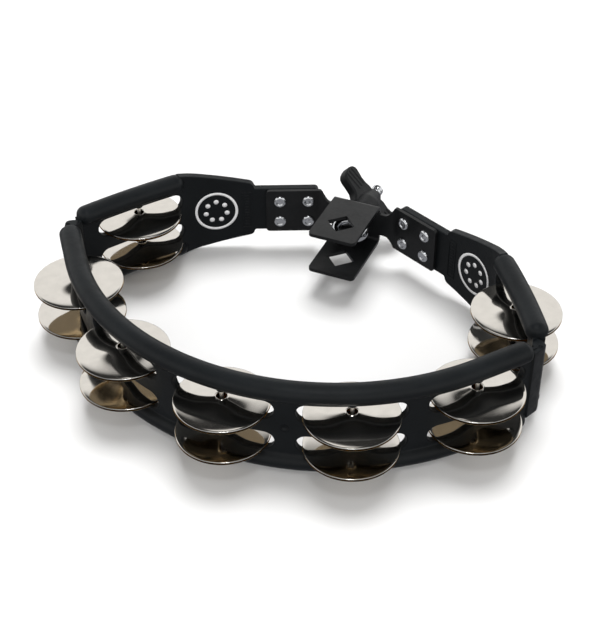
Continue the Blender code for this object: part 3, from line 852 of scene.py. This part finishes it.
# ---- the bracket ----
STRAP = 0.0023
BRACKET_HALF_HEIGHT = 0.0157
WALL_INNER_Y = 0.1045
WALL_HALF_WIDTH = 0.026
FLANGE_OUTER_X = 0.059
TONGUE_PLATE_HALF_WIDTH = 0.0157
TONGUE_PLATE_FRONT_Y = 0.0585
TONGUE_PLATE_HALF_HEIGHT = 0.0147
DIAMOND_Y = 0.0764
DIAMOND_SIDE = 0.0131
TONGUE_CORNER = 0.003
BEND_OUTER_RADIUS = 0.0045
FLANGE_CORNER = 0.0022
RELIEF_X = 0.019
NECK_HALF_HEIGHT = 0.008
BEND_STEPS = 10
BOLT_RADIUS = 0.004
BOLT_END_Y = 0.1438
THREAD_PITCH = 0.00125
THREAD_DEPTH = 0.0007
SHANK_SEGMENTS = 40


def on_bolt(y):
    """Placement on the bolt's axis, whose own +Z points backwards along it."""
    return Matrix.Translation((0, y, 0)) @ Matrix.Rotation(-math.pi / 2, 4, "X")


def outline_solid(bm, points, half_thickness, place=Matrix.Identity(4)):
    """A flat outline in XY given thickness both ways along Z. Adds to the bmesh."""
    add_loft(bm, [
        [place @ Vector((x, y, side * half_thickness)) for x, y in points] for side in (-1, 1)
    ])


def tongue_profile():
    """Side outline of the two tongues and the middle, as (y, z)."""
    back = WALL_INNER_Y + STRAP
    top = TONGUE_PLATE_HALF_HEIGHT
    outer, inner = BEND_OUTER_RADIUS, BEND_OUTER_RADIUS - STRAP
    turns = [math.pi / 2 * index / BEND_STEPS for index in range(BEND_STEPS + 1)]
    middle_y, middle_z = back - outer, top - outer

    def bend(radius):
        return [
            (middle_y + radius * math.sin(turn), middle_z + radius * math.cos(turn))
            for turn in turns
        ]

    front = TONGUE_PLATE_FRONT_Y
    outside = [(front, top)] + bend(outer)
    inside = [(front, top - STRAP)] + bend(inner)
    outside += [(y, -z) for y, z in reversed(outside)]
    inside += [(y, -z) for y, z in reversed(inside)]
    return outside + list(reversed(inside))


def strap_rings():
    """Rings of the right half of the bent strap, from near the middle to its outer end."""
    _, heading = rivet_line()
    middle_y = WALL_INNER_Y + STRAP / 2
    straight = Vector((0, -1))
    slanted = -outward(heading)
    knee = on_flange(WALL_HALF_WIDTH, STRAP / 2)
    lines = []
    for x, half_height in ((0.004, NECK_HALF_HEIGHT), (RELIEF_X, NECK_HALF_HEIGHT),
                           (RELIEF_X + 0.002, NECK_HALF_HEIGHT + 0.0004),
                           (RELIEF_X + 0.0035, NECK_HALF_HEIGHT + 0.0018)):
        lines.append((Vector((x, middle_y)), straight, half_height))
    bend = 0.0022
    for index in range(BEND_STEPS + 1):
        share = index / BEND_STEPS
        before = Vector((knee.x - bend, middle_y)).lerp(knee, share)
        beyond = knee.lerp(on_flange(WALL_HALF_WIDTH + bend, STRAP / 2), share)
        spot = before.lerp(beyond, share)
        across = straight.lerp(slanted, share).normalized()
        grow = eased((share + 0.15) / 0.8)
        low, high = NECK_HALF_HEIGHT + 0.0032, BRACKET_HALF_HEIGHT
        lines.append((spot, across, low + (high - low) * grow))
    first, last = WALL_HALF_WIDTH + bend, FLANGE_OUTER_X - FLANGE_CORNER
    for step in range(1, 5):
        x = first + (last - first) * step / 4
        lines.append((on_flange(x, STRAP / 2), slanted, BRACKET_HALF_HEIGHT))
    for degrees in (15, 30, 45, 60, 75, 90):
        angle = math.radians(degrees)
        x = FLANGE_OUTER_X - FLANGE_CORNER * (1 - math.sin(angle))
        height = BRACKET_HALF_HEIGHT - FLANGE_CORNER * (1 - math.cos(angle))
        lines.append((on_flange(x, STRAP / 2), slanted, height))
    rings = []
    for spot, across, half_height in lines:
        side = STRAP / 2 * across
        rings.append([
            Vector((*(spot + sign * side), level * half_height))
            for sign, level in ((1, -1), (1, 1), (-1, 1), (-1, -1))
        ])
    return rings


def make_bracket():
    """The bent strap with its two flanges and two tongues, from one steel sheet."""
    bm = bmesh.new()
    upright = Matrix(((0, 0, 1, 0), (1, 0, 0, 0), (0, 1, 0, 0), (0, 0, 0, 1)))
    outline_solid(bm, tongue_profile(), 2 * TONGUE_PLATE_HALF_WIDTH, upright)
    bracket = new_object("bracket_sheet", bm, COAT)

    def plan(bm):
        turns = [math.pi / 2 * index / 8 for index in range(9)]
        half, front, radius = TONGUE_PLATE_HALF_WIDTH, TONGUE_PLATE_FRONT_Y, TONGUE_CORNER
        corner = [
            (half - radius + radius * math.cos(turn), front + radius - radius * math.sin(turn))
            for turn in turns
        ]
        points = [(half, BOLT_END_Y)] + corner + [(-x, y) for x, y in reversed(corner)]
        outline_solid(bm, points + [(-half, BOLT_END_Y)], FRAME_HEIGHT)

    def strap(bm):
        rings = strap_rings()
        add_loft(bm, [flipped(ring) for ring in reversed(rings)] + rings)

    def holes(bm):
        half = DIAMOND_SIDE / math.sqrt(2)
        diamond = ((half, 0), (0, half), (-half, 0), (0, -half))
        outline_solid(bm, diamond, FRAME_HEIGHT, Matrix.Translation((0, DIAMOND_Y, 0)))
        bore = BOLT_RADIUS + GAP
        rod = ((0, -0.008), (bore, -0.008), (bore, 0.008), (0, 0.008))
        add_turned(bm, rod, 48, on_bolt(WALL_INNER_Y))

    boolean(bracket, tool("tongue_plan", plan), "INTERSECT")
    boolean(bracket, tool("strap", strap), "UNION")
    boolean(bracket, tool("bracket_holes", holes))
    boolean(bracket, tool("bracket_rivet_holes", rivet_holes))
    round_edges(bracket, 0.00045, 42, 3)
    finish_shading(bracket, 60)
    attach(bracket, ROOT, "bracket_paint", "bracket")


def make_rivets():
    """Eight rivets with a ring and a dimple in the head and a formed tail outside."""
    tail = -STRAP - WALL - 2 * GAP
    radius = RIVET_HEAD_RADIUS
    profile = (
        (0, 0.00125), (0.0005, 0.00124), (0.001, 0.00116), (0.0014, 0.00104), (0.0017, 0.00102),
        (0.0019, 0.00112), (0.0021, 0.00136), (0.0024, 0.00158), (0.0027, 0.00165),
        (0.003, 0.00161), (0.0033, 0.00148), (0.0036, 0.00125), (0.00385, 0.00095),
        (0.00402, 0.0006), (radius, 0.00028), (radius, 0.0002), (0.0022, 0.0002),
        (0.0022, tail), (0.0033, tail), (0.0033, tail - 0.0003), (0.003, tail - 0.0008),
        (0.0024, tail - 0.001), (0.0012, tail - 0.00095), (0.0009, tail - 0.0004),
        (0, tail - 0.0003),
    )
    for number, place in enumerate(rivet_matrices(STRAP), 1):
        bm = bmesh.new()
        add_turned(bm, profile, 48)
        rivet = new_object(f"rivet_{number}_body", bm, RIVET_METAL)
        rivet.matrix_world = Matrix.Translation(PLAN_ORIGIN) @ place
        finish_shading(rivet, 70)
        attach(rivet, ROOT, "rivet_steel", f"rivet_{number}")


# ---- the eye bolt and what turns on it ----
WASHER_THICKNESS = 0.0012
NUT_SEAT_Y = WALL_INNER_Y + STRAP + WASHER_THICKNESS + 2 * GAP
INSERT_CORNER = 0.013 / math.sqrt(3)            # 13 mm across the flats


def make_eye_bolt():
    """A forged eye on a shank with an M8 thread."""
    outer, inner, half = 0.0125, 0.007, 0.0034
    squareness = 2.6
    eye_y = WALL_INNER_Y - GAP - outer
    wide = (outer - inner) / 2
    section = []
    for across, up in circle(1, 28):
        reach = (abs(across) ** squareness + abs(up) ** squareness) ** (-1 / squareness)
        section.append((inner + wide + wide * reach * across, half * reach * up))
    bm = bmesh.new()
    add_turned(bm, section, 120, closed=True)
    bolt = new_object("eye_bolt_forging", bm, CHROME)
    bolt.data.transform(Matrix.Translation((0, eye_y, 0)))

    def shank(bm):
        start = eye_y + inner + wide
        plain_end = WALL_INNER_Y - 0.001
        rings = []
        for share in range(5):
            y = start + (plain_end - start) * share / 4
            rings.append([Vector((x, y, z)) for x, z in circle(BOLT_RADIUS, SHANK_SEGMENTS)])
        rows = 150
        for row in range(rows + 1):
            y = plain_end + (BOLT_END_Y - plain_end) * row / rows
            fade = min(eased((y - plain_end) / 0.002), 1)
            tip = max(y - BOLT_END_Y + 0.0008, 0)
            ring = []
            for step, (across, up) in enumerate(circle(1, SHANK_SEGMENTS)):
                phase = (y / THREAD_PITCH - step / SHANK_SEGMENTS) % 1
                cut = THREAD_DEPTH * (1 - abs(2 * phase - 1)) * fade
                reach = min(BOLT_RADIUS - cut, BOLT_RADIUS - 0.9 * tip)
                ring.append(Vector((reach * across, y, reach * up)))
            rings.append(ring)
        add_loft(bm, rings)

    boolean(bolt, tool("threaded_shank", shank), "UNION")
    finish_shading(bolt, 50)
    attach(bolt, "clamp_bolt", "eye_bolt_chrome", "eye_bolt")


def make_washer():
    """Punched washer with slightly rounded edges."""
    inner, outer, thick, edge = BOLT_RADIUS + GAP, 0.0085, WASHER_THICKNESS, 0.00018
    profile = ((inner + edge, 0), (outer - edge, 0), (outer, edge), (outer, thick - edge),
               (outer - edge, thick), (inner + edge, thick), (inner, thick - edge), (inner, edge))
    bm = bmesh.new()
    add_turned(bm, profile, 64, on_bolt(WALL_INNER_Y + STRAP + GAP), closed=True)
    washer = new_object("washer_plate", bm, ZINC)
    finish_shading(washer, 50)
    attach(washer, ROOT, "washer_zinc", "washer")


BOSS_LENGTH = 0.136 - NUT_SEAT_Y
WING_LENGTH = 0.137 - NUT_SEAT_Y
WING_REACH = 0.0265
WING_THICKNESS = 0.0068
WING_ANGLE = math.radians(135)
WING_GROOVES = (0.56, 0.68, 0.8)                # shares of the wing's length


def wing_matrix(side):
    """Placement of a wing, reach along +X and the bolt along +Y."""
    return Matrix.Translation((0, NUT_SEAT_Y, 0)) @ Matrix.Rotation(side - WING_ANGLE, 4, "Y")


def make_wing_nut():
    """Moulded boss with a collar and two ribbed wings."""
    boss, tip, collar, rise = 0.0092, 0.005, 0.0105, 0.003
    end, waist = BOSS_LENGTH, BOSS_LENGTH / 2
    profile = (
        (0, end), (tip - 0.0003, end), (tip, end - 0.0003), (tip + 0.0004, end - 0.0012),
        (boss - 0.0006, waist + 0.0014), (boss, waist - 0.001), (boss, rise + 0.0006),
        (boss + 0.0003, rise + 0.0001), (collar - 0.0005, rise), (collar - 0.0001, rise - 0.0002),
        (collar, rise - 0.0006), (collar, 0.0003), (collar - 0.0003, 0), (0, 0),
    )
    seat = on_bolt(NUT_SEAT_Y)
    bm = bmesh.new()
    add_turned(bm, profile, 64, seat)
    nut = new_object("wing_nut_moulding", bm, NUT_PLASTIC)
    reach, length = WING_REACH, WING_LENGTH
    outline = (
        (0, 0.13), (0.3, 0.13), (0.36, 0.18), (0.43, 0.29), (0.52, 0.365), (0.68, 0.4),
        (0.84, 0.425), (0.93, 0.47), (0.98, 0.55), (1, 0.66), (1, 0.79), (0.98, 0.88),
        (0.94, 0.95), (0.88, 0.99), (0.8, 1), (0.7, 0.97), (0.58, 0.935), (0.46, 0.92),
        (0.36, 0.935), (0.28, 0.95), (0.2, 0.94), (0, 0.92),
    )
    for side in (0, math.pi):
        bm = bmesh.new()
        points = [(x * reach, y * length) for x, y in outline]
        outline_solid(bm, points, WING_THICKNESS / 2, wing_matrix(side))
        wing = new_object("wing", bm, NUT_PLASTIC)
        round_edges(wing, 0.0014, 50, 5)

        def grooves(bm):
            run = 0.46 * reach
            rod = ((0, -0.0011), (0.0008, -0.0007), (0.0011, 0), (0.0011, run),
                   (0.0008, run + 0.0007), (0, run + 0.0011))
            for share in WING_GROOVES:
                for face in (-1, 1):
                    start = Matrix.Translation(
                        (run, share * length, face * (WING_THICKNESS / 2 + 0.0005))
                    )
                    along = Matrix.Rotation(math.pi / 2, 4, "Y")
                    add_turned(bm, rod, 20, wing_matrix(side) @ start @ along)

        boolean(wing, tool("wing_grooves", grooves))
        boolean(nut, wing, "UNION")

    def bore(bm):
        radius = BOLT_RADIUS + GAP
        add_turned(bm, ((0, -0.01), (radius, -0.01), (radius, 0.04), (0, 0.04)), 40, seat)

    def pocket(bm):
        radius, depth = INSERT_CORNER + 2 * GAP, 0.0068
        add_turned(bm, ((0, -depth), (radius, -depth), (radius, depth), (0, depth)), 6, seat)

    boolean(nut, tool("nut_bore", bore))
    boolean(nut, tool("insert_pocket", pocket))
    finish_shading(nut, 35)
    attach(nut, "clamp_nut", "wing_nut_plastic", "wing_nut")


def make_insert():
    """Hexagonal threaded insert with chamfered ends."""
    length, bore = 0.0062, BOLT_RADIUS + 0.0001
    seat = on_bolt(NUT_SEAT_Y + GAP)
    middle = seat @ Matrix.Translation((0, 0, length / 2))
    bm = bmesh.new()
    outline_solid(bm, circle(INSERT_CORNER, 6), length / 2, middle)
    insert = new_object("nut_insert_body", bm, INSERT_BRASS)

    def drill(bm):
        wide = bore + 0.0006
        profile = ((0, -0.001), (wide + 0.001, -0.001), (wide, 0), (bore, 0.0006),
                   (bore, length - 0.0006), (wide, length), (wide + 0.001, length + 0.001),
                   (0, length + 0.001))
        add_turned(bm, profile, 40, seat)

    boolean(insert, tool("insert_drill", drill))
    round_edges(insert, 0.00025, 50, 2)
    finish_shading(insert, 50)
    attach(insert, "clamp_nut", "insert_brass", "nut_insert")


# ---- floor, light and camera ----
FLOOR_SIZE = 6.0
BELOW = (0.26, 0.26, 0.27)      # what the pieces reflect from under the horizon
WALLS = (0.98, 0.97, 0.955)
CEILING = (0.035, 0.035, 0.035)
ZENITH = (0.85, 0.84, 0.82)
SKY = (                         # colours by the sine of the elevation
    (-1, BELOW), (-0.12, BELOW), (-0.02, WALLS), (0.672, WALLS), (0.722, CEILING),
    (0.945, CEILING), (0.975, ZENITH),
)
SOFT_BOX_COLOUR = (1, 0.985, 0.96)
SOFT_BOX_AZIMUTH = math.radians(-26)
SOFT_BOX_ELEVATION = math.radians(57)
SOFT_BOX_OUTER = math.radians(6.5)
SOFT_BOX_INNER = math.radians(2)
SUNS = (                        # name, place it shines from, angle, power per square metre
    ("key", (-0.15, 0.45, 1.25), math.radians(31), 3.0),
    ("fill", (0.5, -1.1, 0.75), math.radians(35), 0.9),
)
SHOULDER_PLACE = (0.21, -0.48, 1.3)             # soft box over the camera's side
SHOULDER_SIZE = 0.3
SHOULDER_POWER = 2.2
CAMERA_PLACE = Vector((0.2615, -0.6069, 0.5459))
CAMERA_YAW = math.radians(23.18)
CAMERA_PITCH = math.radians(38.71)
CAMERA_LENS = 77.68


def make_floor():
    """Plain pale floor, just under the object."""
    bm = bmesh.new()
    bmesh.ops.create_grid(bm, x_segments=12, y_segments=12, size=FLOOR_SIZE)
    made = Nodes("studio_floor", (0.73, 0.73, 0.73), 0.9)
    made.shader.inputs["Specular IOR Level"].default_value = 0.1
    floor = new_object("studio_floor", bm, made.material)
    floor.location = (0, 0, -0.0004)
    floor.visible_diffuse = False
    floor.visible_glossy = False


def sky_colour(tree, direction):
    """Colour by height: dim below, pale walls, a dark ceiling and a bright zenith."""
    split = tree.nodes.new("ShaderNodeSeparateXYZ")
    rise = tree.nodes.new("ShaderNodeMapRange")
    rise.inputs["From Min"].default_value = -1
    ramp = tree.nodes.new("ShaderNodeValToRGB")
    tree.links.new(direction, split.inputs["Vector"])
    tree.links.new(split.outputs["Z"], rise.inputs["Value"])
    tree.links.new(rise.outputs["Result"], ramp.inputs["Fac"])
    while len(ramp.color_ramp.elements) < len(SKY):
        ramp.color_ramp.elements.new(0.5)
    for knot, (height, colour) in zip(ramp.color_ramp.elements, SKY):
        knot.position = (height + 1) / 2
        knot.color = (*colour, 1)
    return ramp.outputs["Color"]


def soft_box_share(tree, direction):
    """1 inside a round soft box in the sky, 0 outside it, with a soft edge."""
    level = math.cos(SOFT_BOX_ELEVATION)
    aim = tree.nodes.new("ShaderNodeVectorMath")
    aim.operation = "DOT_PRODUCT"
    aim.inputs[1].default_value = (
        math.sin(SOFT_BOX_AZIMUTH) * level, math.cos(SOFT_BOX_AZIMUTH) * level,
        math.sin(SOFT_BOX_ELEVATION),
    )
    glow = tree.nodes.new("ShaderNodeMapRange")
    glow.interpolation_type = "SMOOTHSTEP"
    glow.inputs["From Min"].default_value = math.cos(SOFT_BOX_OUTER)
    glow.inputs["From Max"].default_value = math.cos(SOFT_BOX_INNER)
    tree.links.new(direction, aim.inputs[0])
    tree.links.new(aim.outputs["Value"], glow.inputs["Value"])
    return glow.outputs["Result"]


def make_world():
    """Surroundings that light the scene softly and show in the metal."""
    world = bpy.data.worlds.new("studio")
    bpy.context.scene.world = world
    world.use_nodes = True
    tree = world.node_tree
    direction = tree.nodes.new("ShaderNodeTexCoord").outputs["Generated"]
    mix = tree.nodes.new("ShaderNodeMix")
    mix.data_type = "RGBA"
    mix.inputs[7].default_value = (*SOFT_BOX_COLOUR, 1)
    tree.links.new(soft_box_share(tree, direction), mix.inputs["Factor"])
    tree.links.new(sky_colour(tree, direction), mix.inputs[6])
    tree.links.new(mix.outputs[2], tree.nodes["Background"].inputs["Color"])


def add_lamp(lamp, place, glossy):
    """Put a lamp at a place, aimed at the origin."""
    item = bpy.data.objects.new(lamp.name, lamp)
    bpy.context.scene.collection.objects.link(item)
    item.location = place
    item.rotation_euler = Vector(place).to_track_quat("Z", "Y").to_euler()
    item.visible_glossy = glossy
    item.visible_camera = False


def make_lamps():
    """Two broad suns for soft shadows, and a soft box that shows on the rail's shoulder."""
    for name, place, angle, power in SUNS:
        sun = bpy.data.lights.new(name, "SUN")
        sun.angle = angle
        sun.energy = power
        add_lamp(sun, place, glossy=False)
    box = bpy.data.lights.new("shoulder", "AREA")
    box.shape = "DISK"
    box.size = SHOULDER_SIZE
    box.energy = SHOULDER_POWER
    add_lamp(box, SHOULDER_PLACE, glossy=True)


def make_camera():
    """Camera at the photograph's viewing angle."""
    lens = bpy.data.cameras.new("camera")
    lens.lens = CAMERA_LENS
    lens.sensor_width = 36
    lens.clip_start = 0.01
    view = bpy.data.objects.new("camera", lens)
    bpy.context.scene.collection.objects.link(view)
    view.location = CAMERA_PLACE
    view.rotation_euler = (math.pi / 2 - CAMERA_PITCH, 0, CAMERA_YAW)
    bpy.context.scene.camera = view


bpy.context.scene.view_settings.view_transform = "Standard"
make_camera()
make_frame()
make_badges()
make_jingles()
make_pins()
make_bracket()
make_rivets()
make_eye_bolt()
make_washer()
make_wing_nut()
make_insert()
make_floor()
make_world()
make_lamps()
